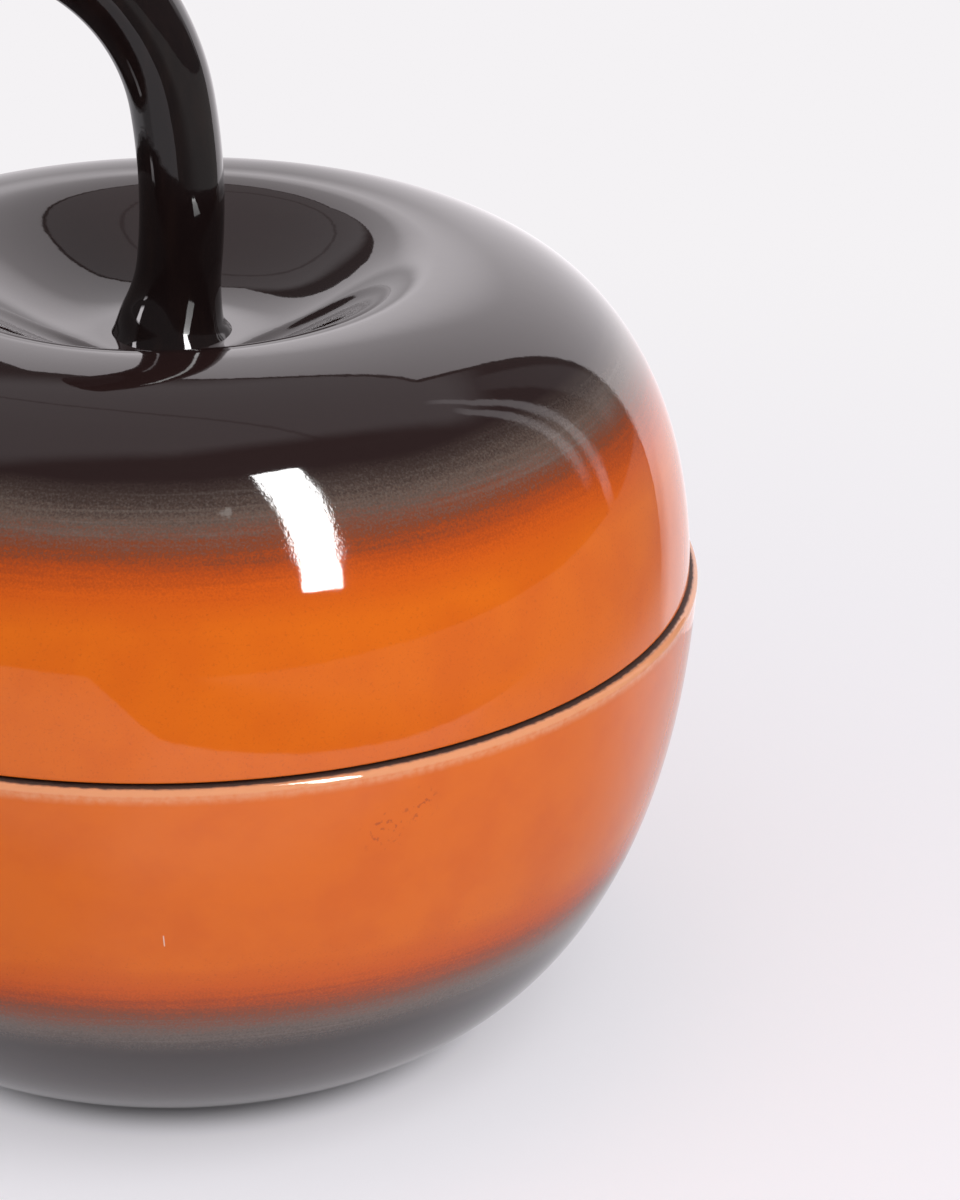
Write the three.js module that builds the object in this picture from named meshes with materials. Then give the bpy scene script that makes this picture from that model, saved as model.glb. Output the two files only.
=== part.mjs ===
// Apple-shaped lidded jar in glazed ceramic: a round bowl, a dimpled lid that
// drops into its mouth, and a bent stem that is fixed in the lid as its handle.
// Millimetres, +Z up. The origin is the centre of the foot ring, on the table.

import * as THREE from 'three';
import { mergeVertices } from 'three/addons/utils/BufferGeometryUtils.js';

// Bowl
const BOWL_RIM_RADIUS = 101.7;
const BOWL_HEIGHT = 92.5;
const BOWL_WALL = 5.5;
const BOWL_SIDE_RUN = 63;
const BOWL_SIDE_DRAFT = 3.5;
const BOWL_BASE_RUN = 25;
const RIM_OUTER_ROUND = 1.3;
const RIM_INNER_ROUND = 0.9;

// Foot ring under the bowl
const FOOT_RADIUS = 45;
const FOOT_WIDTH = 6;
const FOOT_HEIGHT = 2.5;
const FOOT_ROUND = 0.8;
const FOOT_LEDGE = 1;

// Lid
const LID_INSET = 1.6;
const LID_HEIGHT = 62.6;
const LID_WALL = 5.2;
const LID_SIDE_RUN = 34.1;
const LID_CROWN_RUN = 33.7;
const LID_EDGE_ROUND = 0.4;
const CREST_RADIUS = 51.3;
const DIMPLE_DEPTH = 14.5;
const DIMPLE_LIP_RUN = 10.8;
const DIMPLE_FLOOR_RUN = 16.3;
const RELIEF_WIDTH = 1.7;
const RELIEF_HEIGHT = 0.7;

// Locating flange under the lid
const FLANGE_DEPTH = 7;
const FLANGE_THICKNESS = 4;
const FLANGE_ROOT = 9;
const FLANGE_ROUND = 1;

// Stem
const STEM_FOOT_RADIUS = 11.4;
const STEM_WAIST_RADIUS = 8.1;
const STEM_TIP_RADIUS = 10.2;
const STEM_FLARE_HEIGHT = 14.5;
const STEM_BASE_LEAN = -12.4;
const STEM_SHOULDER_LEAN = 8;
const STEM_TIP_LEAN = 60;
const STEM_LOWER_BEND = 128.4;
const STEM_UPPER_BEND = 46;
const STEM_TIP_ROUND = 3;
const STEM_SEAT_MARGIN = 1.6;
const TENON_RADIUS = 6;
const SOCKET_DEPTH = 4;

// Clearances
const SEAT_GAP = 0.3;
const FLANGE_CLEARANCE = 0.8;
const JOINT_GAP = 0.3;

// Facets
const TURN_SEGMENTS = 56;
const SIDE_STEPS = 12;
const DIMPLE_STEPS = 9;
const ROUND_STEPS = 2;
const TIP_STEPS = 3;
const STEM_SIDES = 24;
const STEM_LOWER_STEPS = 12;
const STEM_UPPER_STEPS = 10;

// Levels and radii that follow from the sizes above
const RIM_Z = BOWL_HEIGHT;
const SEAT_Z = RIM_Z + SEAT_GAP;
const CREST_Z = SEAT_Z + LID_HEIGHT;
const STEM_SEAT_Z = CREST_Z - DIMPLE_DEPTH;
const STEM_SEAT_RADIUS = STEM_FOOT_RADIUS + STEM_SEAT_MARGIN;
const LID_RADIUS = BOWL_RIM_RADIUS - LID_INSET;
const MOUTH_RADIUS = BOWL_RIM_RADIUS - BOWL_WALL;
const BOWL_BASE_RADIUS = FOOT_RADIUS + FOOT_LEDGE;

const point = (r, z) => new THREE.Vector2(r, z);

// A profile stretch that leaves its start along one handle and reaches its end along the other.
function profileCurve(start, startHandle, endHandle, end) {
  return new THREE.CubicBezierCurve(start, startHandle, endHandle, end);
}

// Points on a curve, moved to its left by a wall thickness.
function offsetPoints(curve, distance, steps) {
  const points = [];
  for (let i = 0; i <= steps; i += 1) {
    const t = i / steps;
    const tangent = curve.getTangent(t);
    const normal = point(-tangent.y, tangent.x);
    points.push(curve.getPoint(t).addScaledVector(normal, distance));
  }
  return points;
}

// The radius at a height on a rising run of profile points.
function radiusAt(points, z) {
  const k = points.findIndex((p) => p.y >= z);
  const low = points[k - 1];
  const high = points[k];
  return THREE.MathUtils.mapLinear(z, low.y, high.y, low.x, high.x);
}

// A quarter round about a centre, from one angle to another in degrees.
function quarterRound(centre, radius, fromDegrees, toDegrees) {
  const points = [];
  for (let i = 0; i <= ROUND_STEPS; i += 1) {
    const angle = THREE.MathUtils.degToRad(
      THREE.MathUtils.lerp(fromDegrees, toDegrees, i / ROUND_STEPS),
    );
    points.push(point(centre.x + radius * Math.cos(angle), centre.y + radius * Math.sin(angle)));
  }
  return points;
}

// Turns a profile about the vertical axis. The clay lies on the left of the profile's direction.
function turned(profile) {
  const geometry = new THREE.LatheGeometry(profile, TURN_SEGMENTS);
  geometry.rotateX(Math.PI / 2);
  return geometry;
}

// The bowl's outside, from the flat under its belly up to the rim.
function bowlOutside() {
  const bellyZ = FOOT_HEIGHT;
  return profileCurve(
    point(BOWL_BASE_RADIUS, bellyZ),
    point(BOWL_BASE_RADIUS + BOWL_BASE_RUN, bellyZ),
    point(BOWL_RIM_RADIUS - BOWL_SIDE_DRAFT, RIM_Z - BOWL_SIDE_RUN),
    point(BOWL_RIM_RADIUS, RIM_Z),
  );
}

// The bowl's inside, which follows the outside at the wall's thickness.
function bowlInside() {
  return offsetPoints(bowlOutside(), BOWL_WALL, SIDE_STEPS);
}

// Bowl: foot ring, belly, rounded rim and hollow inside.
function bowlGeometry() {
  const outside = bowlOutside();
  const sideTop = RIM_Z - RIM_OUTER_ROUND;
  const innerTop = RIM_Z - RIM_INNER_ROUND;
  const footInner = FOOT_RADIUS - FOOT_WIDTH;
  const foot = [
    point(footInner, FOOT_HEIGHT),
    ...quarterRound(point(footInner + FOOT_ROUND, FOOT_ROUND), FOOT_ROUND, 180, 270),
    ...quarterRound(point(FOOT_RADIUS - FOOT_ROUND, FOOT_ROUND), FOOT_ROUND, 270, 360),
    point(FOOT_RADIUS, FOOT_HEIGHT),
  ];
  const side = outside.getPoints(SIDE_STEPS).filter((p) => p.y < sideTop - RIM_OUTER_ROUND);
  const rim = [
    ...quarterRound(point(BOWL_RIM_RADIUS - RIM_OUTER_ROUND, sideTop), RIM_OUTER_ROUND, 0, 90),
    ...quarterRound(point(MOUTH_RADIUS + RIM_INNER_ROUND, innerTop), RIM_INNER_ROUND, 90, 180),
  ];
  const inside = bowlInside()
    .filter((p) => p.y < innerTop - RIM_INNER_ROUND)
    .reverse();
  return turned([
    point(0, FOOT_HEIGHT),
    ...foot,
    ...side,
    ...rim,
    ...inside,
    point(0, FOOT_HEIGHT + BOWL_WALL),
  ]);
}

// The lid's outside: the shoulder from its edge up to the crest, then the dimple down to the stem's seat.
function lidOutside() {
  const shoulder = profileCurve(
    point(LID_RADIUS, SEAT_Z),
    point(LID_RADIUS, SEAT_Z + LID_SIDE_RUN),
    point(CREST_RADIUS + LID_CROWN_RUN, CREST_Z),
    point(CREST_RADIUS, CREST_Z),
  );
  const dimple = profileCurve(
    point(CREST_RADIUS, CREST_Z),
    point(CREST_RADIUS - DIMPLE_LIP_RUN, CREST_Z),
    point(STEM_SEAT_RADIUS + DIMPLE_FLOOR_RUN, STEM_SEAT_Z),
    point(STEM_SEAT_RADIUS, STEM_SEAT_Z),
  );
  return { shoulder, dimple };
}

// Lid: a shell with a dimple, a socket for the stem and a flange that drops into the bowl's mouth.
// Outside its seat the underside is relieved, which leaves the open line over the bowl's rim.
function lidGeometry() {
  const { shoulder, dimple } = lidOutside();
  const socketRadius = TENON_RADIUS + JOINT_GAP;
  const socketFloor = STEM_SEAT_Z - SOCKET_DEPTH;
  const bossUnderside = socketFloor - LID_WALL;
  const bossRadius = socketRadius + LID_WALL;
  const flangeBottom = SEAT_Z - FLANGE_DEPTH;
  const flangeOuter = radiusAt(bowlInside(), flangeBottom) - FLANGE_CLEARANCE;
  const flangeInner = flangeOuter - FLANGE_THICKNESS;
  const underDimple = offsetPoints(dimple, LID_WALL, DIMPLE_STEPS).reverse();
  const underShoulder = offsetPoints(shoulder, LID_WALL, SIDE_STEPS)
    .filter((p) => p.y > SEAT_Z + FLANGE_ROOT)
    .reverse();
  const flange = [
    point(flangeInner, SEAT_Z),
    ...quarterRound(point(flangeInner + FLANGE_ROUND, flangeBottom + FLANGE_ROUND), FLANGE_ROUND, 180, 270),
    ...quarterRound(point(flangeOuter - FLANGE_ROUND, flangeBottom + FLANGE_ROUND), FLANGE_ROUND, 270, 360),
    point(flangeOuter, SEAT_Z),
  ];
  const edgeZ = SEAT_Z + RELIEF_HEIGHT;
  const seatOuter = LID_RADIUS - RELIEF_WIDTH;
  const edge = [
    point(seatOuter, SEAT_Z),
    point(seatOuter + RELIEF_HEIGHT, edgeZ),
    ...quarterRound(point(LID_RADIUS - LID_EDGE_ROUND, edgeZ + LID_EDGE_ROUND), LID_EDGE_ROUND, 270, 360),
  ];
  const side = shoulder.getPoints(SIDE_STEPS).filter((p) => p.y > edgeZ + 2 * LID_EDGE_ROUND);
  return turned([
    point(0, bossUnderside),
    point(bossRadius, bossUnderside),
    ...underDimple,
    ...underShoulder.slice(1),
    ...flange,
    ...edge,
    ...side,
    ...dimple.getPoints(DIMPLE_STEPS).slice(1),
    point(socketRadius, STEM_SEAT_Z),
    point(socketRadius, socketFloor),
    point(0, socketFloor),
  ]);
}

// One arc of the stem's spine: stations with their place and lean, from one lean to the next.
function spineArc(start, bend, fromLean, toLean, steps) {
  const stations = [];
  for (let i = 0; i <= steps; i += 1) {
    const degrees = THREE.MathUtils.lerp(fromLean, toLean, i / steps);
    const lean = THREE.MathUtils.degToRad(degrees);
    const first = THREE.MathUtils.degToRad(fromLean);
    stations.push({
      x: start.x + bend * (Math.cos(lean) - Math.cos(first)),
      z: start.z + bend * (Math.sin(lean) - Math.sin(first)),
      lean,
      run: bend * (lean - first),
    });
  }
  return stations;
}

// A ring of vertices round a station. A lean of zero is level, and a positive one tips towards -X.
function stationRing(station, radius, tip) {
  const ring = [];
  for (let i = 0; i < STEM_SIDES; i += 1) {
    const angle = (2 * Math.PI * i) / STEM_SIDES;
    const across = radius * Math.cos(angle);
    ring.push(new THREE.Vector3(
      station.x + across * Math.cos(tip),
      radius * Math.sin(angle),
      station.z + across * Math.sin(tip),
    ));
  }
  return ring;
}

// Skins a stack of rings and closes both ends with a fan.
function loft(rings) {
  const vertices = rings.flat();
  const sides = rings[0].length;
  const index = [];
  for (let k = 0; k + 1 < rings.length; k += 1) {
    for (let i = 0; i < sides; i += 1) {
      const a = k * sides + i;
      const b = k * sides + ((i + 1) % sides);
      index.push(a, b, b + sides, a, b + sides, a + sides);
    }
  }
  const last = (rings.length - 1) * sides;
  const centre = (ring) => ring.reduce((sum, v) => sum.add(v), new THREE.Vector3()).divideScalar(sides);
  const low = vertices.push(centre(rings[0])) - 1;
  const high = vertices.push(centre(rings.at(-1))) - 1;
  for (let i = 0; i < sides; i += 1) {
    const next = (i + 1) % sides;
    index.push(low, next, i);
    index.push(high, last + i, last + next);
  }
  const geometry = new THREE.BufferGeometry().setFromPoints(vertices);
  geometry.setIndex(index);
  return mergeVertices(geometry);
}

// Stem: a tenon for the lid's socket, a flared foot, a shaft that bends over and a rounded end.
function stemGeometry() {
  const footZ = STEM_SEAT_Z + JOINT_GAP;
  const tenonBottom = STEM_SEAT_Z - SOCKET_DEPTH + JOINT_GAP;
  const base = { x: 0, z: footZ };
  const lower = spineArc(base, STEM_LOWER_BEND, STEM_BASE_LEAN, STEM_SHOULDER_LEAN, STEM_LOWER_STEPS);
  const upper = spineArc(lower.at(-1), STEM_UPPER_BEND, STEM_SHOULDER_LEAN, STEM_TIP_LEAN, STEM_UPPER_STEPS);
  const rings = [
    stationRing({ x: 0, z: tenonBottom }, TENON_RADIUS, 0),
    stationRing(base, TENON_RADIUS, 0),
  ];
  for (const station of lower) {
    const rise = Math.min(station.run / STEM_FLARE_HEIGHT, 1);
    const flare = (STEM_FOOT_RADIUS - STEM_WAIST_RADIUS) * (1 - rise) ** 2;
    rings.push(stationRing(station, STEM_WAIST_RADIUS + flare, station.lean * rise));
  }
  const upperRun = upper.at(-1).run;
  for (const station of upper.slice(1)) {
    const swell = (STEM_TIP_RADIUS - STEM_WAIST_RADIUS) * (station.run / upperRun) ** 2;
    rings.push(stationRing(station, STEM_WAIST_RADIUS + swell, station.lean));
  }
  const tip = upper.at(-1);
  for (let i = 1; i <= TIP_STEPS; i += 1) {
    const angle = (Math.PI / 2) * (i / TIP_STEPS);
    const ahead = STEM_TIP_ROUND * Math.sin(angle);
    const place = { x: tip.x - ahead * Math.sin(tip.lean), z: tip.z + ahead * Math.cos(tip.lean) };
    rings.push(stationRing(place, STEM_TIP_RADIUS - STEM_TIP_ROUND * (1 - Math.cos(angle)), tip.lean));
  }
  return loft(rings);
}

function piece(name, geometry, material) {
  const mesh = new THREE.Mesh(geometry, material);
  mesh.name = name;
  return mesh;
}

const orangeGlaze = new THREE.MeshStandardMaterial({ color: 0xdc6a22, roughness: 0.12, metalness: 0 });
const shadedGlaze = new THREE.MeshStandardMaterial({ color: 0x3a2622, roughness: 0.1, metalness: 0 });
const blackGlaze = new THREE.MeshStandardMaterial({ color: 0x1a1214, roughness: 0.08, metalness: 0 });

const jar = new THREE.Group();
jar.add(piece('bowl', bowlGeometry(), orangeGlaze));
const liftedPart = new THREE.Group();
liftedPart.add(piece('lid', lidGeometry(), shadedGlaze));
liftedPart.add(piece('stem', stemGeometry(), blackGlaze));
jar.add(liftedPart);

export default jar;
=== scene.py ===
"""Dressed model of an apple-shaped lidded jar in glossy, airbrushed glazed ceramic.

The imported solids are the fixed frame. Bowl and lid are turned again and the stem is swept again, in the same
place and size, as fine meshes with an airbrushed glaze. Metres, +Z up, origin under the foot ring.
"""

import logging
import math
from dataclasses import dataclass
from enum import Enum
from typing import Any, Optional, Union

import bpy
import numpy as np
from mathutils import Matrix, Vector


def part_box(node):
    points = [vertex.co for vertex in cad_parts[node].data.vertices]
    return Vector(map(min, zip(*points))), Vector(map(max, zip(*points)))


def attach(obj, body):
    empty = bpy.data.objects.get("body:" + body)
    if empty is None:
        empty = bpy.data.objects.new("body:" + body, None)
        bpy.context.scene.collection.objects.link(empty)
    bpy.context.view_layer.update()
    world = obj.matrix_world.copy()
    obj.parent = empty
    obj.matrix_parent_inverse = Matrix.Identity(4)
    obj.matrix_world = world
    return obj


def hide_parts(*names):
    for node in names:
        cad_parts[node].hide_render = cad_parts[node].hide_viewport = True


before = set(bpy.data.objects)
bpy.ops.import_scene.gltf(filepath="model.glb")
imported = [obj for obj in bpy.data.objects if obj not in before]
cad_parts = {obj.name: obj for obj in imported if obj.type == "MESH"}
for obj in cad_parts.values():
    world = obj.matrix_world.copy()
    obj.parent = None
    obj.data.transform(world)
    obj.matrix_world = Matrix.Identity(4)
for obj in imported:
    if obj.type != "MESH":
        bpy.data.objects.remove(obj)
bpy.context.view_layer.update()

LOG = logging.getLogger("apple_jar")
MM = 0.001

Point = tuple[float, float]
Colour = tuple[float, float, float]
Number = Union[float, "Value"]

BOWL_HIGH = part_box("bowl")[1]
LID_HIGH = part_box("lid")[1]
RIM_RADIUS = BOWL_HIGH.x
RIM_Z = BOWL_HIGH.z
CREST_Z = LID_HIGH.z
LID_RADIUS = LID_HIGH.x


class Cover(Enum):
    """What lies on the clay at a point of a profile. The number is stored on the mesh as an attribute."""

    SPRAYED = 0.0
    THIN = 0.25
    BARE = 1.0
    LINED = 2.0


COVER_ATTRIBUTE = "cover"


class Value:
    """A node socket that can stand in a Python expression. Each operator adds one Math node."""

    def __init__(self, sheet: "Sheet", socket: bpy.types.NodeSocket) -> None:
        """Keeps the socket and the sheet that it is on."""
        self.sheet = sheet
        self.socket = socket

    def _math(self, operation: str, first: Number, second: Number) -> "Value":
        """Adds a Math node.

        Args:
            operation: The Math node's operation.
            first: The left operand.
            second: The right operand.

        Returns:
            The node's result.
        """
        return self.sheet.node("ShaderNodeMath", {0: first, 1: second}, operation=operation)

    def __add__(self, other: Number) -> "Value":
        """Sum."""
        return self._math("ADD", self, other)

    __radd__ = __add__

    def __mul__(self, other: Number) -> "Value":
        """Product."""
        return self._math("MULTIPLY", self, other)

    __rmul__ = __mul__

    def __sub__(self, other: Number) -> "Value":
        """Difference."""
        return self._math("SUBTRACT", self, other)

    def __rsub__(self, other: Number) -> "Value":
        """Difference from a number on the left."""
        return self._math("SUBTRACT", other, self)

    def __truediv__(self, other: Number) -> "Value":
        """Quotient."""
        return self._math("DIVIDE", self, other)

    def __pow__(self, other: Number) -> "Value":
        """Power."""
        return self._math("POWER", self, other)

    def least(self, other: Number) -> "Value":
        """The smaller of two values."""
        return self._math("MINIMUM", self, other)

    def most(self, other: Number) -> "Value":
        """The larger of two values."""
        return self._math("MAXIMUM", self, other)

    def size(self) -> "Value":
        """The value without its sign."""
        return self.sheet.node("ShaderNodeMath", {0: self}, operation="ABSOLUTE")

    def step(self, low: float, high: float) -> "Value":
        """A smooth step.

        Args:
            low: The value where the step is 0.
            high: The value where the step is 1. It may be below low.

        Returns:
            The step, from 0 to 1.
        """
        return self.ramp(low, high, "SMOOTHSTEP")

    def ramp(self, low: float, high: float, easing: str = "LINEAR") -> "Value":
        """A ramp from 0 at low to 1 at high, held at both ends. It is straight unless an easing is given."""
        limits = {"Value": self, "From Min": low, "From Max": high}
        return self.sheet.node("ShaderNodeMapRange", limits, interpolation_type=easing)


class Sheet:
    """A node tree that nodes are added to, in a material, a world or a Geometry Nodes group."""

    def __init__(self, tree: bpy.types.NodeTree) -> None:
        """Keeps the tree."""
        self.tree = tree

    def node(
        self,
        kind: str,
        inputs: Optional[dict[Union[int, str], Any]] = None,
        output: Union[int, str] = 0,
        stops: Optional[list[tuple[float, Colour]]] = None,
        **settings: Any,
    ) -> Value:
        """Adds a node, sets it up and feeds its sockets.

        Args:
            kind: The node's type.
            inputs: Values or links by socket name or number.
            output: The name or number of the output that is returned.
            stops: Places and colours of a colour ramp's stops.
            settings: The node's own settings, which are set first.

        Returns:
            The chosen output.
        """
        node = self.tree.nodes.new(kind)
        for name, setting in settings.items():
            setattr(node, name, setting)
        if stops:
            elements = node.color_ramp.elements
            while len(elements) < len(stops):
                elements.new(1.0)
            for element, (place, colour) in zip(elements, stops):
                element.position = place
                element.color = (*colour, 1.0)
        for key, value in (inputs or {}).items():
            self.feed(node.inputs[key], value)
        return Value(self, node.outputs[output])

    def feed(self, socket: bpy.types.NodeSocket, value: Any) -> None:
        """Links a value to a socket, or sets a number, colour or vector on it."""
        if isinstance(value, Value):
            self.tree.links.new(value.socket, socket)
        elif socket.type == "RGBA" and len(value) == 3:
            socket.default_value = (*value, 1.0)
        else:
            socket.default_value = value

    def mix(self, share: Number, first: Union[Colour, Value], second: Union[Colour, Value]) -> Value:
        """Mixes two colours.

        Args:
            share: The share of the second colour, from 0 to 1.
            first: The colour at 0.
            second: The colour at 1.

        Returns:
            The mixed colour.
        """
        return self.node("ShaderNodeMix", {0: share, 6: first, 7: second}, output=2, data_type="RGBA")

    def noise(self, place: Value, scale: float, detail: float = 2.0) -> Value:
        """Noise from 0 to 1 at a place, with about scale features in a metre."""
        return self.node("ShaderNodeTexNoise", {"Vector": place, "Scale": scale, "Detail": detail})

    def stretched(self, place: Value, scale: tuple[float, float, float]) -> Value:
        """A place whose axes are scaled one by one, for streaks."""
        return self.node("ShaderNodeMapping", {"Vector": place, "Scale": scale})

    def apart(self, place: Value, point: tuple[float, float, float]) -> Value:
        """The distance of a place from a point."""
        return self.node("ShaderNodeVectorMath", {0: place, 1: point}, output="Value", operation="DISTANCE")

    def axes(self, place: Value) -> tuple[Value, Value, Value]:
        """The X, Y and Z of a vector."""
        node = self.tree.nodes.new("ShaderNodeSeparateXYZ")
        self.feed(node.inputs[0], place)
        return tuple(Value(self, output) for output in node.outputs)


def new_material(name: str) -> tuple[bpy.types.Material, Sheet, Any]:
    """Starts a material.

    Args:
        name: The material's name.

    Returns:
        The material, its nodes and the inputs of its Principled shader.
    """
    material = bpy.data.materials.new(name)
    material.use_nodes = True
    return material, Sheet(material.node_tree), material.node_tree.nodes["Principled BSDF"].inputs


def guide_curve(name: str, rows: list[tuple[float, float, float, float]]) -> bpy.types.Object:
    """Makes a curve of straight stretches.

    Args:
        name: The object's name.
        rows: X, Y, Z and radius value of each point.

    Returns:
        The curve object.
    """
    curve = bpy.data.curves.new(name, "CURVE")
    curve.dimensions = "3D"
    spline = curve.splines.new("POLY")
    spline.points.add(len(rows) - 1)
    for point, (x, y, z, radius) in zip(spline.points, rows):
        point.co = (x, y, z, 1.0)
        point.radius = radius
    guide = bpy.data.objects.new(name, curve)
    bpy.context.scene.collection.objects.link(guide)
    return guide


def staged_face(name: str, corners: list[Any], material: bpy.types.Material) -> bpy.types.Object:
    """Puts one flat face on the stage round the jar.

    Args:
        name: The object's name.
        corners: The face's corners in order.
        material: The finish.

    Returns:
        The face.
    """
    mesh = bpy.data.meshes.new(name)
    mesh.from_pydata(corners, [], [tuple(range(len(corners)))])
    mesh.materials.append(material)
    face = bpy.data.objects.new(name, mesh)
    bpy.context.scene.collection.objects.link(face)
    return face


class FormTree(Sheet):
    """A Geometry Nodes group with named inputs that ends in Realize Instances and Set Material."""

    def __init__(self, name: str) -> None:
        """Starts an empty group with one geometry output."""
        super().__init__(bpy.data.node_groups.new(name, "GeometryNodeTree"))
        self.identifiers: dict[str, str] = {}
        self.entry = self.tree.nodes.new("NodeGroupInput")
        self.tree.interface.new_socket("Form", in_out="OUTPUT", socket_type="NodeSocketGeometry")

    def takes(self, label: str, kind: str) -> Value:
        """Adds a named input.

        Args:
            label: The input's name.
            kind: The part of the socket type after NodeSocket, such as Float.

        Returns:
            The input's value inside the group.
        """
        item = self.tree.interface.new_socket(label, in_out="INPUT", socket_type="NodeSocket" + kind)
        self.identifiers[label] = item.identifier
        return Value(self, self.entry.outputs[label])

    def ends(self, form: Value) -> None:
        """Welds, wavers, smooths and dresses the form, keeps its creases sharp, and closes the group.

        This adds the inputs Weld, Waver, Swells, Crease and Material.

        Args:
            form: The swept geometry.
        """
        weld = self.takes("Weld", "Float")
        welded = self.node("GeometryNodeMergeByDistance", {"Geometry": form, "Distance": weld})
        wavered = self.wavered(welded, self.takes("Waver", "Float"), self.takes("Swells", "Float"))
        smoothing = {"Geometry": wavered, "Shade Smooth": True}
        smooth = self.node("GeometryNodeSetShadeSmooth", smoothing, domain="FACE")
        angle = self.node("GeometryNodeInputMeshEdgeAngle")
        crease = self.takes("Crease", "Float")
        sharp = self.node("ShaderNodeMath", {0: angle, 1: crease}, operation="GREATER_THAN")
        creasing = {"Geometry": smooth, "Selection": sharp, "Shade Smooth": False}
        creased = self.node("GeometryNodeSetShadeSmooth", creasing, domain="EDGE")
        solid = self.node("GeometryNodeRealizeInstances", {"Geometry": creased})
        material = self.takes("Material", "Material")
        dressed = self.node("GeometryNodeSetMaterial", {"Geometry": solid, "Material": material})
        leave = self.tree.nodes.new("NodeGroupOutput")
        self.feed(leave.inputs["Form"], dressed)

    def wavered(self, form: Value, amount: Value, pitch: Value) -> Value:
        """Moves a form's points along their normals by smooth noise, as a cast piece is never true.

        Args:
            form: The geometry.
            amount: The whole range of the movement.
            pitch: How many swells there are in a metre.

        Returns:
            The moved geometry.
        """
        place = self.node("GeometryNodeInputPosition")
        swell = self.node("ShaderNodeTexNoise", {"Vector": place, "Scale": pitch, "Detail": 1.0})
        normal = self.node("GeometryNodeInputNormal")
        shift = self.node(
            "ShaderNodeVectorMath", {0: normal, "Scale": (swell - 0.5) * amount}, operation="SCALE"
        )
        return self.node("GeometryNodeSetPosition", {"Geometry": form, "Offset": shift})

    def made(self, guide: bpy.types.Object, values: dict[str, Any], name: str) -> bpy.types.Object:
        """Runs the group on a guide curve and keeps the result as a plain mesh.

        Args:
            guide: The curve object that the group works on. It is removed afterwards.
            values: The values of the named inputs.
            name: The piece's name.

        Returns:
            The piece, at the origin, with no modifier.
        """
        modifier = guide.modifiers.new(self.tree.name, "NODES")
        modifier.node_group = self.tree
        for label, value in values.items():
            modifier[self.identifiers[label]] = value
        graph = bpy.context.evaluated_depsgraph_get()
        mesh = bpy.data.meshes.new_from_object(guide.evaluated_get(graph))
        mesh.name = name
        data = guide.data
        bpy.data.objects.remove(guide)
        bpy.data.curves.remove(data)
        piece = bpy.data.objects.new(name, mesh)
        bpy.context.scene.collection.objects.link(piece)
        return piece


def turning_tree() -> FormTree:
    """The group that turns a profile curve about the jar's axis.

    The profile's X is the radius and its Y the height. It is swept round a circle, and each profile point's
    radius value is kept on the mesh as the cover attribute.

    Returns:
        The group, with inputs Profile, Segments and Hub besides those of its ending.
    """
    group = FormTree("turning")
    profile = group.takes("Profile", "Geometry")
    segments = group.takes("Segments", "Int")
    hub = group.takes("Hub", "Float")
    marked = group.node(
        "GeometryNodeStoreNamedAttribute",
        {"Geometry": profile, "Name": COVER_ATTRIBUTE, "Value": group.node("GeometryNodeInputRadius")},
        data_type="FLOAT",
        domain="POINT",
    )
    inward = group.node("ShaderNodeCombineXYZ", {"X": 0.0 - hub})
    placing = {"Geometry": marked, "Translation": inward, "Scale": (1.0, -1.0, 1.0)}
    placed = group.node("GeometryNodeTransform", placing)
    path = group.node("GeometryNodeCurvePrimitiveCircle", {"Resolution": segments, "Radius": hub})
    swept = group.node("GeometryNodeCurveToMesh", {"Curve": path, "Profile Curve": placed})
    group.ends(group.node("GeometryNodeFlipFaces", {"Mesh": swept}))
    return group


def sweeping_tree() -> FormTree:
    """The group that sweeps a round section along a path whose points carry the section's radius.

    Returns:
        The group, with inputs Path and Sides besides those of its ending.
    """
    group = FormTree("sweeping")
    path = group.takes("Path", "Geometry")
    sides = group.takes("Sides", "Int")
    section = group.node("GeometryNodeCurvePrimitiveCircle", {"Resolution": sides, "Radius": 1.0})
    radius = group.node("GeometryNodeInputRadius")
    sweep = {"Curve": path, "Profile Curve": section, "Scale": radius, "Fill Caps": False}
    group.ends(group.node("GeometryNodeCurveToMesh", sweep))
    return group


@dataclass(frozen=True)
class Stretch:
    """A cubic Bezier stretch of a profile, in radius and height."""

    start: Point
    leave: Point
    arrive: Point
    end: Point

    def points(self, steps: int) -> np.ndarray:
        """Points at even steps along the stretch, both ends included."""
        t = np.linspace(0.0, 1.0, steps + 1)[:, None]
        a, b, c, d = (np.array(p) for p in (self.start, self.leave, self.arrive, self.end))
        return a * (1 - t) ** 3 + 3 * b * t * (1 - t) ** 2 + 3 * c * t**2 * (1 - t) + d * t**3

    def offset(self, distance: float, steps: int) -> np.ndarray:
        """Points at even steps, moved to the left of the stretch by a wall's thickness."""
        t = np.linspace(0.0, 1.0, steps + 1)[:, None]
        a, b, c, d = (np.array(p) for p in (self.start, self.leave, self.arrive, self.end))
        along = 3 * ((b - a) * (1 - t) ** 2 + 2 * (c - b) * t * (1 - t) + (d - c) * t**2)
        along /= np.linalg.norm(along, axis=1)[:, None]
        left = np.column_stack([-along[:, 1], along[:, 0]])
        return self.points(steps) + distance * left


def quarter_round(
    centre: Point, radius: float, from_degrees: float, to_degrees: float, steps: int
) -> np.ndarray:
    """Points on an arc about a centre.

    Args:
        centre: The arc's centre, as radius and height.
        radius: The arc's own radius.
        from_degrees: The angle of the first point.
        to_degrees: The angle of the last point.
        steps: The number of steps between them.

    Returns:
        The points, both ends included.
    """
    angle = np.radians(np.linspace(from_degrees, to_degrees, steps + 1))
    return np.column_stack([centre[0] + radius * np.cos(angle), centre[1] + radius * np.sin(angle)])


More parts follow.
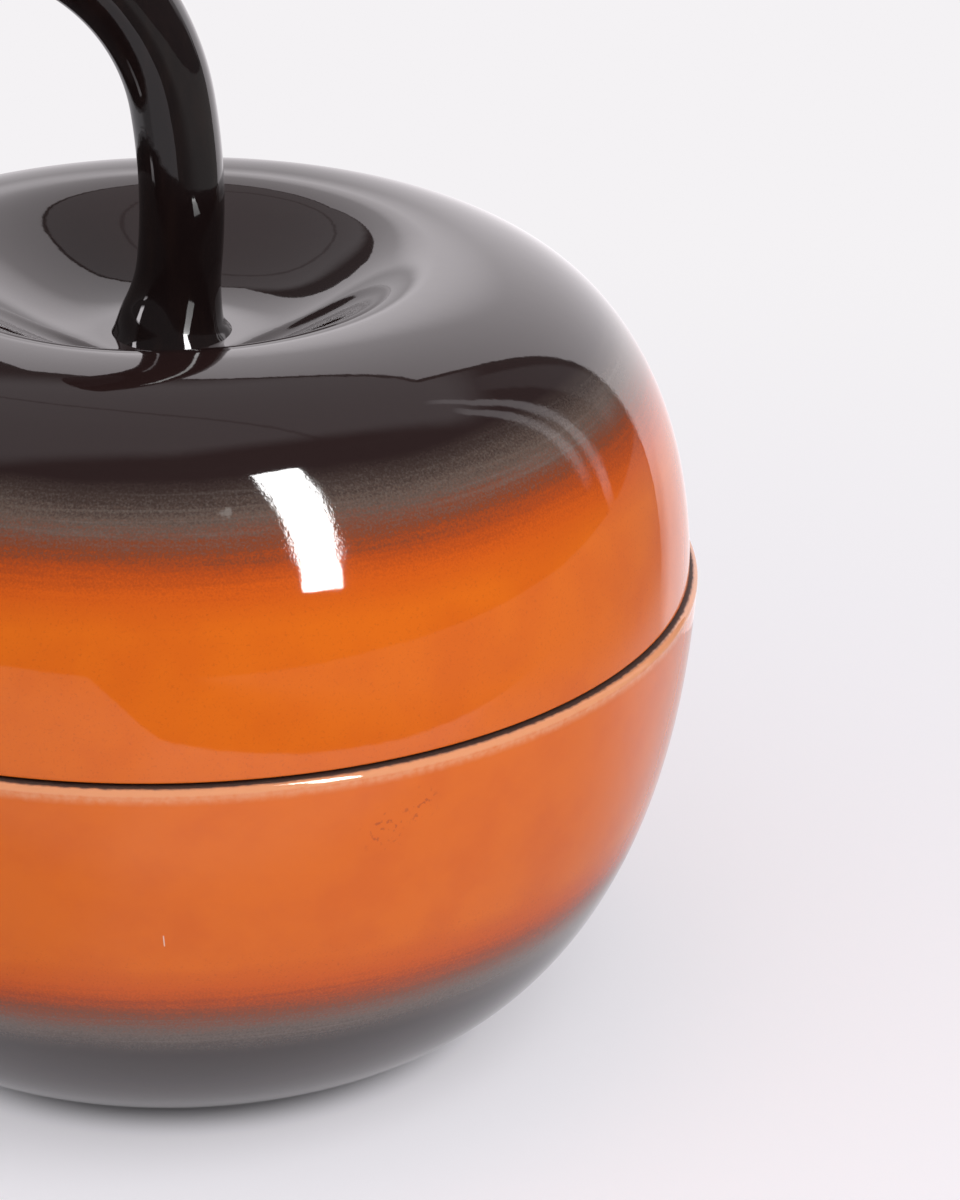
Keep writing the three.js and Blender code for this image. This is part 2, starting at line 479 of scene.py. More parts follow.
class Outline:
    """A profile that is put together stretch by stretch, with what covers the clay at each point."""

    def __init__(self) -> None:
        """Starts with no points."""
        self.rows: list[tuple[float, float, float]] = []

    def add(self, points: Any, cover: Cover, until: Optional[Cover] = None) -> None:
        """Adds points in order.

        Args:
            points: Radius and height of each point.
            cover: What covers the clay at the first point.
            until: What covers it at the last point, where that changes on the way.
        """
        shares = np.linspace(0.0, 1.0, len(points)) if len(points) > 1 else [0.0]
        last = (until or cover).value
        for (radius, height), share in zip(points, shares):
            self.rows.append((float(radius), float(height), cover.value + share * (last - cover.value)))

    def guide(self, name: str) -> bpy.types.Object:
        """The profile as a curve object, with the cover as each point's radius value."""
        return guide_curve(name, [(radius, height, 0.0, cover) for radius, height, cover in self.rows])


@dataclass(frozen=True)
class Turning:
    """How finely the turned pieces are made, and how far they stray from true."""

    segments: int = 224
    side_steps: int = 96
    dimple_steps: int = 72
    round_steps: int = 6
    hub: float = 50 * MM
    weld: float = 0.004 * MM
    waver: float = 0.03 * MM
    swells: float = 11.0
    crease: float = math.radians(38)

    def ending(self, material: bpy.types.Material, waver: float, swells: float) -> dict[str, Any]:
        """The values of the inputs that each group's ending takes."""
        return {
            "Weld": self.weld,
            "Waver": waver,
            "Swells": swells,
            "Crease": self.crease,
            "Material": material,
        }


TURNING = Turning()


@dataclass(frozen=True)
class GlazeColours:
    """The coats of the airbrushed glaze, in linear colour, from the clean orange to the solid black."""

    orange: Colour = (0.725, 0.142, 0.006)
    deep_orange: Colour = (0.62, 0.098, 0.006)
    ember: Colour = (0.44, 0.066, 0.008)
    russet: Colour = (0.23, 0.052, 0.018)
    dust: Colour = (0.118, 0.078, 0.062)
    smoke: Colour = (0.050, 0.032, 0.027)
    black: Colour = (0.020, 0.0095, 0.0092)
    pale_dust: Colour = (0.185, 0.158, 0.140)
    thin: Colour = (0.80, 0.335, 0.165)
    # Bare clay. Its dark brown is partly painted shade: it darkens the seam's gap under the lid's edge.
    clay: Colour = (0.058, 0.022, 0.014)
    bare_speck: Colour = (0.105, 0.050, 0.034)
    lining: Colour = (0.66, 0.58, 0.47)
    lining_shade: Colour = (0.58, 0.47, 0.35)
    mark: Colour = (0.36, 0.045, 0.012)
    scratch: Colour = (0.85, 0.72, 0.62)
    scuffed: Colour = (0.26, 0.23, 0.21)

    def stops(self) -> list[tuple[float, Colour]]:
        """The colour ramp's stops, from no spray at 0 to a full coat at 1."""
        return [
            (0.0, self.orange),
            (0.25, self.deep_orange),
            (0.40, self.ember),
            (0.54, self.russet),
            (0.74, self.dust),
            (0.88, self.smoke),
            (1.0, self.black),
        ]


@dataclass(frozen=True)
class Mark:
    """A small blemish on the glaze: a place on the surface and its reach."""

    place: tuple[float, float, float]
    reach: float


@dataclass(frozen=True)
class SprayedGlaze:
    """Orange glaze with black airbrushed over it, under a glossy clear coat.

    Heights are in metres above the table. Inside the crown radius, where that isn't zero, the black is solid.
    """

    name: str
    clean: float
    solid: float
    crown: float = 0.0
    colours: GlazeColours = GlazeColours()
    wobble: float = 2.2 * MM
    ior: float = 1.62
    gloss: float = 0.035
    dry: float = 0.62
    relief: float = 0.018 * MM
    line_share: float = 0.17
    broad_line_share: float = 0.12
    grain_share: float = 0.34
    dust_grain: float = 0.27
    dust_streak: float = 0.24
    scuffs: tuple[Mark, ...] = ()
    scratches: tuple[Mark, ...] = ()
    chips: tuple[Mark, ...] = ()

    def coverage(self, sheet: Sheet, place: Value, height: Value) -> Value:
        """How thick the black lies, from 0 to 1, with the spray's drift, brush lines and grain.

        Args:
            sheet: The material's nodes.
            place: Object coordinates.
            height: The height above the table.

        Returns:
            The coverage.
        """
        drift = (sheet.noise(place, 21.0, 3.0) - 0.5) * (2 * self.wobble)
        even = (height + drift - self.clean) / (self.solid - self.clean)
        even = even.most(-0.5).least(1.0)
        if self.crown:
            x, y, _ = sheet.axes(place)
            radius = (x * x + y * y) ** 0.5
            even = even.most(radius.step(1.2 * self.crown, self.crown))
        edge = (even * (1.0 - even) * 4.0).most(0.0)
        lines = sheet.noise(sheet.stretched(place, (24.0, 24.0, 1500.0)), 1.0, 3.0) - 0.5
        broad_lines = sheet.noise(sheet.stretched(place, (16.0, 16.0, 420.0)), 1.0, 2.0) - 0.5
        grain = sheet.noise(place, 2500.0, 2.0) - 0.5
        uneven = lines * self.line_share + broad_lines * self.broad_line_share + grain * self.grain_share
        return even + edge * uneven

    def dusted(self, sheet: Sheet, place: Value, coverage: Value, colour: Value) -> Value:
        """Lays the dry spray's pale grain and streaks over the dusty part of the band.

        Args:
            sheet: The material's nodes.
            place: Object coordinates.
            coverage: How thick the black lies.
            colour: The glaze's colour.

        Returns:
            The dusted colour.
        """
        band = coverage.step(0.50, 0.68) * coverage.step(1.02, 0.80)
        grain = sheet.noise(place, 2300.0, 2.0).step(0.42, 0.72)
        streak = sheet.noise(sheet.stretched(place, (26.0, 26.0, 1300.0)), 1.0, 3.0).step(0.52, 0.74)
        dust = grain * self.dust_grain + streak * self.dust_streak
        return sheet.mix(band * dust, colour, self.colours.pale_dust)

    def mottled(self, sheet: Sheet, place: Value, coverage: Value, colour: Value) -> Value:
        """Lays soft blotches, and fine dark grain near the band, over the clean orange.

        Args:
            sheet: The material's nodes.
            place: Object coordinates.
            coverage: How thick the black lies.
            colour: The glaze's colour.

        Returns:
            The mottled colour.
        """
        clean = coverage.step(0.42, 0.10)
        blotch = sheet.noise(place, 70.0, 5.0).step(0.38, 0.72) * 0.42
        near_band = coverage.step(-0.30, 0.20) * coverage.step(0.60, 0.35)
        specks = sheet.noise(place, 2200.0, 3.0).step(0.55, 0.75) * near_band * 0.5
        blotched = sheet.mix(blotch * clean, colour, self.colours.deep_orange)
        return sheet.mix(specks, blotched, self.colours.ember)

    def blemished(self, sheet: Sheet, place: Value, colour: Value) -> Value:
        """Lays the scuffs, hair scratches and chips over a colour.

        Args:
            sheet: The material's nodes.
            place: Object coordinates.
            colour: The glaze's colour.

        Returns:
            The marked colour.
        """
        for scuff in self.scuffs:
            specks = sheet.noise(place, 900.0, 3.0).step(0.56, 0.68)
            worn = sheet.apart(place, scuff.place).step(scuff.reach, 0.3 * scuff.reach)
            colour = sheet.mix(worn * specks * 0.6, colour, self.colours.mark)
        x, y, z = sheet.axes(place)
        for scratch in self.scratches:
            line = (x - scratch.place[0] + (z - scratch.place[2]) * 0.06).size().step(0.15 * MM, 0.05 * MM)
            span = (z - scratch.place[2]).size().step(scratch.reach, 0.7 * scratch.reach)
            colour = sheet.mix(line * span * y.step(0.0, -1 * MM) * 0.7, colour, self.colours.scratch)
        for chip in self.chips:
            ragged = (sheet.noise(place, 650.0, 2.0) - 0.5) * (2.2 * chip.reach)
            worn = (sheet.apart(place, chip.place) + ragged).step(chip.reach, 0.4 * chip.reach)
            colour = sheet.mix(worn * 0.55, colour, self.colours.scuffed)
        return colour

    def material(self) -> bpy.types.Material:
        """The finish as a Blender material.

        Returns:
            The material, with a Principled shader fed by the glaze's pattern.
        """
        material, sheet, inputs = new_material(self.name)
        place = sheet.node("ShaderNodeTexCoord", output="Object")
        height = sheet.axes(place)[2]
        cover = sheet.node("ShaderNodeAttribute", output="Fac", attribute_name=COVER_ATTRIBUTE)
        coverage = self.coverage(sheet, place, height)
        sprayed = sheet.node("ShaderNodeValToRGB", {"Fac": coverage}, stops=self.colours.stops())
        dusted = self.dusted(sheet, place, coverage, sprayed)
        outside = self.blemished(sheet, place, self.mottled(sheet, place, coverage, dusted))
        # The bare clay's dark brown is partly painted shade, which darkens the seam's gap.
        clay_speck = sheet.noise(place, 1400.0, 3.0).step(0.35, 0.7)
        clay = sheet.mix(clay_speck * 0.4, self.colours.clay, self.colours.bare_speck)
        lining_tone = sheet.noise(place, 40.0, 4.0).step(0.3, 0.8)
        lining = sheet.mix(lining_tone * 0.4, self.colours.lining, self.colours.lining_shade)
        ragged = cover + (sheet.noise(place, 700.0, 2.0) - 0.5) * 0.24 * (cover * 4.0).least(1.0)
        edge = sheet.mix(ragged.step(0.04, 0.40), outside, self.colours.thin)
        # Bare clay replaces the glaze on the foot, rim top, seat and socket; its dark brown is partly painted
        # shade.
        worn = sheet.mix(ragged.step(0.70, 0.96), edge, clay)
        colour = sheet.mix(ragged.ramp(1.15, 1.85), worn, lining)
        bare = ragged.step(0.72, 0.95) * ragged.step(1.4, 1.15)
        smear = sheet.noise(place, 75.0, 3.0) * 0.012
        roughness = smear + self.gloss + bare * self.dry
        peel = sheet.noise(place, 210.0, 2.0) * 0.7 + sheet.noise(place, 900.0, 2.0) * 0.12
        rough_clay = sheet.noise(place, 2600.0, 3.0) * bare * 3.0
        dry_band = coverage.step(0.35, 0.60) * coverage.step(1.0, 0.85)
        bumps = peel + rough_clay + sheet.noise(place, 1500.0, 3.0) * dry_band * 0.5
        relief = sheet.node("ShaderNodeBump", {"Height": bumps, "Strength": 1.0, "Distance": self.relief})
        sheet.feed(inputs["Base Color"], colour)
        sheet.feed(inputs["Roughness"], roughness)
        sheet.feed(inputs["Normal"], relief)
        inputs["IOR"].default_value = self.ior
        return material


@dataclass(frozen=True)
class StemGlaze:
    """Solid black-brown glaze, with browner runs down the stem and fine specks."""

    name: str
    black: Colour = (0.008, 0.0045, 0.0045)
    brown: Colour = (0.014, 0.0075, 0.0065)
    ior: float = 1.62
    gloss: float = 0.03
    relief: float = 0.03 * MM

    def material(self) -> bpy.types.Material:
        """The finish as a Blender material."""
        material, sheet, inputs = new_material(self.name)
        place = sheet.node("ShaderNodeTexCoord", output="Object")
        runs = sheet.noise(sheet.stretched(place, (260.0, 260.0, 45.0)), 1.0, 3.0)
        specks = sheet.noise(place, 1600.0, 2.0).step(0.60, 0.74) * 0.5
        tone = sheet.mix(runs.step(0.42, 0.72) * 0.8, self.black, self.brown)
        colour = sheet.mix(specks, tone, self.brown)
        peel = runs * 0.8 + sheet.noise(place, 240.0, 2.0) * 0.6
        relief = sheet.node("ShaderNodeBump", {"Height": peel, "Strength": 1.0, "Distance": self.relief})
        sheet.feed(inputs["Base Color"], colour)
        sheet.feed(inputs["Roughness"], sheet.noise(place, 90.0, 3.0) * 0.014 + self.gloss)
        sheet.feed(inputs["Normal"], relief)
        inputs["IOR"].default_value = self.ior
        return material


@dataclass
class Bowl:
    """The lower half of the apple: belly, foot ring, rounded rim and hollow inside."""

    rim_radius: float = RIM_RADIUS
    rim_z: float = RIM_Z
    wall: float = 5.5 * MM
    side_run: float = 63 * MM
    side_draft: float = 3.5 * MM
    base_run: float = 25 * MM
    rim_outer_round: float = 1.3 * MM
    rim_inner_round: float = 0.9 * MM
    thin_run: float = 2.4 * MM
    foot_radius: float = 45 * MM
    foot_width: float = 6 * MM
    foot_height: float = 2.5 * MM
    foot_round: float = 0.8 * MM
    foot_ledge: float = 1 * MM
    glaze: SprayedGlaze = SprayedGlaze(
        "bowl_glaze",
        clean=54.2 * MM,
        solid=30.8 * MM,
        scuffs=(
            Mark((36.2 * MM, -93.9 * MM, 79.8 * MM), 6 * MM),
            Mark((42.6 * MM, -91.6 * MM, 83.4 * MM), 5 * MM),
        ),
        scratches=(Mark((-3.9 * MM, -97.2 * MM, 60.5 * MM), 1.4 * MM),),
    )

    def belly(self) -> Stretch:
        """The outside, from the flat under the belly up to the rim."""
        base = self.foot_radius + self.foot_ledge
        return Stretch(
            (base, self.foot_height),
            (base + self.base_run, self.foot_height),
            (self.rim_radius - self.side_draft, self.rim_z - self.side_run),
            (self.rim_radius, self.rim_z),
        )

    def mouth_radius(self, height: float) -> float:
        """The inside radius at a height on the wall."""
        inside = self.belly().offset(self.wall, TURNING.side_steps)
        return float(np.interp(height, inside[:, 1], inside[:, 0]))

    def outline(self) -> Outline:
        """The whole profile, from the axis under the bowl round to the axis on its floor."""
        steps = TURNING.round_steps
        foot_inner = self.foot_radius - self.foot_width
        side_top = self.rim_z - self.rim_outer_round
        inner_top = self.rim_z - self.rim_inner_round
        mouth = self.rim_radius - self.wall
        side = self.belly().points(TURNING.side_steps)
        inside = self.belly().offset(self.wall, TURNING.side_steps)[::-1]
        outline = Outline()
        outline.add([(0.0, self.foot_height), (foot_inner - 2 * MM, self.foot_height)], Cover.SPRAYED)
        outline.add([(foot_inner, self.foot_height)], Cover.SPRAYED)
        low = (foot_inner + self.foot_round, self.foot_round)
        outline.add(quarter_round(low, self.foot_round, 180, 270, steps), Cover.SPRAYED, Cover.BARE)
        low = (self.foot_radius - self.foot_round, self.foot_round)
        outline.add(quarter_round(low, self.foot_round, 270, 360, steps), Cover.BARE, Cover.SPRAYED)
        outline.add([(self.foot_radius, self.foot_height)], Cover.SPRAYED)
        thin_z = side_top - self.thin_run
        outline.add(side[side[:, 1] < thin_z], Cover.SPRAYED)
        thin_points = np.linspace(thin_z, side_top - 0.4 * self.rim_outer_round, steps)
        thin_side = np.column_stack([np.interp(thin_points, side[:, 1], side[:, 0]), thin_points])
        outline.add(thin_side, Cover.SPRAYED, Cover.THIN)
        # The rim's top is bare clay, whose dark brown is painted shade in the seam's gap.
        outer = (self.rim_radius - self.rim_outer_round, side_top)
        outline.add(quarter_round(outer, self.rim_outer_round, 0, 90, 2 * steps), Cover.THIN, Cover.BARE)
        inner = (mouth + self.rim_inner_round, inner_top)
        outline.add(quarter_round(inner, self.rim_inner_round, 90, 180, steps), Cover.BARE, Cover.LINED)
        outline.add(inside[inside[:, 1] < inner_top - self.rim_inner_round], Cover.LINED)
        outline.add([(0.0, self.foot_height + self.wall)], Cover.LINED)
        return outline

    def build(self, tree: FormTree) -> bpy.types.Object:
        """Turns and dresses the bowl.

        Args:
            tree: The turning group.

        Returns:
            The piece.
        """
        return turned_piece(tree, self.outline(), self.glaze.material(), "bowl_shell")


@dataclass
class Lid:
    """The upper half of the apple: shoulder, crest, dimple, the stem's socket and the locating flange."""

    bowl: Bowl
    radius: float = LID_RADIUS
    seat_gap: float = 0.3 * MM
    crest_z: float = CREST_Z
    wall: float = 5.2 * MM
    side_run: float = 34.1 * MM
    crown_run: float = 33.7 * MM
    edge_round: float = 0.4 * MM
    crest_radius: float = 51.3 * MM
    dimple_depth: float = 14.5 * MM
    dimple_lip_run: float = 10.8 * MM
    dimple_floor_run: float = 16.3 * MM
    relief_width: float = 1.7 * MM
    relief_height: float = 0.28 * MM
    stem_seat_radius: float = 13 * MM
    flange_depth: float = 7 * MM
    flange_thickness: float = 4 * MM
    flange_root: float = 9 * MM
    flange_round: float = 1 * MM
    flange_clearance: float = 0.8 * MM
    socket_radius: float = 6.3 * MM
    socket_depth: float = 4 * MM
    glaze: SprayedGlaze = SprayedGlaze(
        "lid_glaze",
        clean=119.8 * MM,
        solid=143.8 * MM,
        crown=55 * MM,
        chips=(Mark((9.1 * MM, -86.1 * MM, 139.2 * MM), 1.4 * MM),),
    )

    @property
    def seat_z(self) -> float:
        """The height of the flat seat under the lid's edge."""
        return self.bowl.rim_z + self.seat_gap

    @property
    def stem_seat_z(self) -> float:
        """The height of the stem's seat in the dimple."""
        return self.crest_z - self.dimple_depth

    def shoulder(self) -> Stretch:
        """The outside from the lid's edge up to its crest."""
        return Stretch(
            (self.radius, self.seat_z),
            (self.radius, self.seat_z + self.side_run),
            (self.crest_radius + self.crown_run, self.crest_z),
            (self.crest_radius, self.crest_z),
        )

    def dimple(self) -> Stretch:
        """The outside from the crest down to the stem's seat."""
        return Stretch(
            (self.crest_radius, self.crest_z),
            (self.crest_radius - self.dimple_lip_run, self.crest_z),
            (self.stem_seat_radius + self.dimple_floor_run, self.stem_seat_z),
            (self.stem_seat_radius, self.stem_seat_z),
        )

    def outline(self) -> Outline:
        """The whole profile, from the axis under the socket round to the axis on the socket's floor."""
        steps = TURNING.round_steps
        socket_floor = self.stem_seat_z - self.socket_depth
        flange_bottom = self.seat_z - self.flange_depth
        flange_outer = self.bowl.mouth_radius(flange_bottom) - self.flange_clearance
        flange_inner = flange_outer - self.flange_thickness
        under_dimple = self.dimple().offset(self.wall, TURNING.dimple_steps)[::-1]
        under_shoulder = self.shoulder().offset(self.wall, TURNING.side_steps)[::-1]
        boss_radius = self.socket_radius + self.wall
        boss_z = socket_floor - self.wall
        low = flange_bottom + self.flange_round
        edge_z = self.seat_z + self.relief_height
        seat_outer = self.radius - self.relief_width
        edge_centre = (self.radius - self.edge_round, edge_z + self.edge_round)
        outline = Outline()
        outline.add([(0.0, boss_z), (boss_radius - 1 * MM, boss_z), (boss_radius, boss_z)], Cover.LINED)
        outline.add(under_dimple, Cover.LINED)
        outline.add(under_shoulder[1:][under_shoulder[1:, 1] > self.seat_z + self.flange_root], Cover.LINED)
        outline.add([(flange_inner, self.seat_z)], Cover.LINED)
        inner = (flange_inner + self.flange_round, low)
        outline.add(quarter_round(inner, self.flange_round, 180, 270, steps), Cover.LINED, Cover.BARE)
        outer = (flange_outer - self.flange_round, low)
        outline.add(quarter_round(outer, self.flange_round, 270, 360, steps), Cover.BARE)
        # The seat under the lid's edge is bare clay, whose dark brown is painted shade in the seam's gap.
        outline.add([(flange_outer, self.seat_z), (seat_outer, self.seat_z)], Cover.BARE)
        outline.add([(seat_outer + self.relief_height, edge_z)], Cover.BARE)
        outline.add(quarter_round(edge_centre, self.edge_round, 270, 360, steps), Cover.SPRAYED)
        shoulder = self.shoulder().points(TURNING.side_steps)
        outline.add(shoulder[shoulder[:, 1] > edge_z + 1.5 * self.edge_round], Cover.SPRAYED)
        outline.add(self.dimple().points(TURNING.dimple_steps)[1:], Cover.SPRAYED)
        outline.add([(self.socket_radius, self.stem_seat_z)], Cover.SPRAYED, Cover.BARE)
        outline.add([(self.socket_radius, socket_floor), (0.0, socket_floor)], Cover.BARE)
        return outline

    def build(self, tree: FormTree) -> bpy.types.Object:
        """Turns and dresses the lid.

        Args:
            tree: The turning group.

        Returns:
            The piece.
        """
        return turned_piece(tree, self.outline(), self.glaze.material(), "lid_shell")


def turned_piece(
    tree: FormTree, outline: Outline, material: bpy.types.Material, name: str
) -> bpy.types.Object:
    """Runs the turning group on an outline.

    Args:
        tree: The turning group.
        outline: The profile.
        material: The finish.
        name: The piece's name.

    Returns:
        The piece.
    """
    values = {"Segments": TURNING.segments, "Hub": TURNING.hub}
    values.update(TURNING.ending(material, TURNING.waver, TURNING.swells))
    return tree.made(outline.guide(name + "_profile"), values, name)


@dataclass
class Stem:
    """The bent stem: tenon, flared foot, waist and swelling end, swept along two arcs that lean in XZ."""

    lid: Lid
    foot_radius: float = 11.4 * MM
    waist_radius: float = 8.1 * MM
    tip_radius: float = 10.2 * MM
    flare_height: float = 14.5 * MM
    base_lean: float = -12.4
    shoulder_lean: float = 8.0
    tip_lean: float = 60.0
    lower_bend: float = 128.4 * MM
    upper_bend: float = 46 * MM
    tip_round: float = 3 * MM
    tip_dome: float = 0.5 * MM
    tenon_radius: float = 6 * MM
    tenon_gap: float = 0.3 * MM
    tenon_edge: float = 0.05 * MM
    neck: float = 0.1 * MM
    fillet: float = 2 * MM
    fillet_spread: float = 0.25 * MM
    settle: float = 5 * MM
    foot_shift: float = 0.5 * MM
    sink: float = 0.25 * MM
    step: float = 0.6 * MM
    sides: int = 72
    round_steps: int = 8
    waver: float = 0.08 * MM
    swells: float = 55.0
    glaze: StemGlaze = StemGlaze("stem_glaze")

    def lean(self, run: float) -> float:
        """The spine's lean in radians at a run along it. A positive lean tips towards -X."""
        lower_run = self.lower_bend * math.radians(self.shoulder_lean - self.base_lean)
        if run > lower_run:
            return math.radians(self.shoulder_lean) + (run - lower_run) / self.upper_bend
        settled = min(run / self.settle, 1.0)
        return (math.radians(self.base_lean) + run / self.lower_bend) * settled * settled * (3 - 2 * settled)

    def girth(self, run: float, lower_run: float, upper_run: float) -> float:
        """The stem's radius at a run along the spine: flare, waist, swell and a fillet at the foot."""
        flare = (self.foot_radius - self.waist_radius) * (1 - min(run / self.flare_height, 1.0)) ** 2
        pooled = self.fillet_spread * (1 - min(run / self.fillet, 1.0)) ** 2
        swell = (self.tip_radius - self.waist_radius) * (max(run - lower_run, 0.0) / upper_run) ** 2
        return self.waist_radius + flare + pooled + swell

    def path(self) -> list[tuple[float, float, float]]:
        """The spine, as X, Z and radius, from the tenon's bottom to the middle of the rounded end."""
        seat_z = self.lid.stem_seat_z
        lower_run = self.lower_bend * math.radians(self.shoulder_lean - self.base_lean)
        upper_run = self.upper_bend * math.radians(self.tip_lean - self.shoulder_lean)
        length = lower_run + upper_run
        x, z = self.foot_shift, seat_z - self.sink
        floor_z = seat_z - self.lid.socket_depth + self.tenon_gap
        rows = [(x, floor_z, 0.0), (x, floor_z + self.tenon_edge, self.tenon_radius)]
        rows.append((x, z - self.neck, self.tenon_radius))
        steps = math.ceil(length / self.step)
        stride = length / steps
        for k in range(steps + 1):
            run = k * stride
            rows.append((x, z, self.girth(run, lower_run, upper_run)))
            lean = self.lean(run + 0.5 * stride)
            x -= stride * math.sin(lean)
            z += stride * math.cos(lean)
        end_x, end_z = rows[-1][0], rows[-1][1]
        lean = math.radians(self.tip_lean)
        for k in range(1, self.round_steps + 1):
            angle = 0.5 * math.pi * k / self.round_steps
            ahead = self.tip_round * math.sin(angle)
            radius = self.tip_radius - self.tip_round * (1 - math.cos(angle))
            rows.append((end_x - ahead * math.sin(lean), end_z + ahead * math.cos(lean), radius))
        dome = self.tip_round + self.tip_dome
        rows.append((end_x - dome * math.sin(lean), end_z + dome * math.cos(lean), 0.0))
        return rows

    def guide(self) -> bpy.types.Object:
        """The spine as a curve object with the radius at each point."""
        return guide_curve("stem_spine", [(x, 0.0, z, radius) for x, z, radius in self.path()])

    def build(self, tree: FormTree) -> bpy.types.Object:
        """Sweeps and dresses the stem.

        Args:
            tree: The sweeping group.

        Returns:
            The piece.
        """
        values = {"Sides": self.sides}
        values.update(TURNING.ending(self.glaze.material(), self.waver, self.swells))
        return tree.made(self.guide(), values, "stem_shaft")


@dataclass(frozen=True)
class Lamp:
    """A soft lamp: place, the point that it faces, the direction of its long side, size and radiance."""

    name: str
    place: tuple[float, float, float]
    target: tuple[float, float, float]
    along: tuple[float, float, float]
    width: float
    length: float
    radiance: float
    mirrored: bool

    def build(self) -> bpy.types.Object:
        """Makes the lamp.

        Returns:
            The lamp, which is seen either in reflections alone or in diffuse light alone.
        """
        light = bpy.data.lights.new(self.name, "AREA")
        light.shape = "RECTANGLE"
        light.size = self.width
        light.size_y = self.length
        light.energy = self.radiance * math.pi * self.width * self.length
        lamp = bpy.data.objects.new(self.name, light)
        back = (Vector(self.place) - Vector(self.target)).normalized()
        across = Vector(self.along).cross(back).normalized()
        up = back.cross(across)
        turn = Matrix((across, up, back)).transposed().to_4x4()
        lamp.matrix_world = Matrix.Translation(self.place) @ turn
        lamp.visible_camera = False
        lamp.visible_diffuse = not self.mirrored
        lamp.visible_glossy = self.mirrored
        bpy.context.scene.collection.objects.link(lamp)
        return lamp


@dataclass(frozen=True)
class Card:
    """The white card that stands close behind the jar. It glows with its own light, painted brighter in a spot
    and darker in a shaded patch, low down and at its lower right edge. Only reflections show it.
    """

    corners: tuple[tuple[float, float, float], ...] = (
        (-0.114, 0.346, 0.0),
        (0.241, 0.090, 0.0),
        (0.160, 0.107, 0.390),
        (-0.069, 0.269, 0.417),
    )
    glow: float = 1.50
    low_glow: float = 1.12
    spot_glow: float = 0.60
    shade: float = 0.55
    spot_place: Point = (-0.085, 0.25)
    spot_reach: Point = (0.075, 0.042)
    edge_slope: float = 0.195
    edge_fade: float = 0.030
    edge_share: float = 0.55
    tint: Colour = (1.0, 0.95, 0.985)
    border: float = 0.010
    border_glow: float = 0.10
    border_corner: float = 1.4
    border_gap: float = 0.003

    def face(self, name: str, corners: list[Vector]) -> tuple[Sheet, bpy.types.NodeSocket]:
        """Makes one flat face that only reflections show.

        Args:
            name: The object's name.
            corners: The face's corners in order.

        Returns:
            The nodes of its material, and the socket of its own light.
        """
        material, sheet, inputs = new_material(name)
        inputs["Base Color"].default_value = (0.0, 0.0, 0.0, 1.0)
        inputs["Specular IOR Level"].default_value = 0.0
        inputs["Emission Strength"].default_value = 1.0
        face = staged_face(name, corners, material)
        face.visible_camera = False
        face.visible_diffuse = False
        face.visible_shadow = False
        face.visible_transmission = False
        return sheet, inputs["Emission Color"]

    def build(self) -> None:
        """Stands the card up, with its dark border a little behind it."""
        corners = [Vector(corner) for corner in self.corners]
        side = (corners[1] - corners[0]).normalized()
        sheet, light = self.face("backdrop_card", corners)
        x, y, z = sheet.axes(sheet.node("ShaderNodeTexCoord", output="Object"))
        along = x * side.x + y * side.y
        off_along = (along - self.spot_place[0]) / self.spot_reach[0]
        off_height = (z - self.spot_place[1]) / self.spot_reach[1]
        spot = (off_along**2.0 + off_height**2.0).step(1.8, 0.0)
        shaded = along.step(-0.03, -0.11) * z.step(0.225, 0.195)
        right_edge = corners[1].x * side.x + corners[1].y * side.y - z * self.edge_slope
        fade = (right_edge - along).step(0.0, self.edge_fade).most(z.step(0.05, 0.12))
        even = z.step(0.05, 0.14) * (self.glow - self.low_glow) + self.low_glow
        level = spot * self.spot_glow - shaded * self.shade + even
        level = level * (fade * (1.0 - self.edge_share) + self.edge_share)
        tinted = [level * share for share in self.tint]
        sheet.feed(light, sheet.node("ShaderNodeCombineColor", dict(enumerate(tinted))))
        middle = sum(corners, Vector()) / len(corners)
        facing = side.cross(corners[3] - corners[0]).normalized()
        back = facing if facing.y > 0 else -facing
        reach = [(corner - middle).normalized() * (self.border_corner * self.border) for corner in corners]
        # The border doesn't pass the card at its lower right corner.
        reach[1] = Vector()
        outer = [corner + step + back * self.border_gap for corner, step in zip(corners, reach)]
        outer = [Vector((corner.x, corner.y, max(corner.z, 0.0))) for corner in outer]
        sheet, light = self.face("backdrop_border", outer)
        sheet.feed(light, (self.border_glow,) * 3)


@dataclass(frozen=True)
class Glint:
    """A bright upright patch of the room in the reflections.

    All angles are in degrees. The first of each pair is where the patch is gone, the second where it is full.
    """

    turn: float
    width: Point
    low: Point
    high: Point
    glow: float
    leans: bool = False


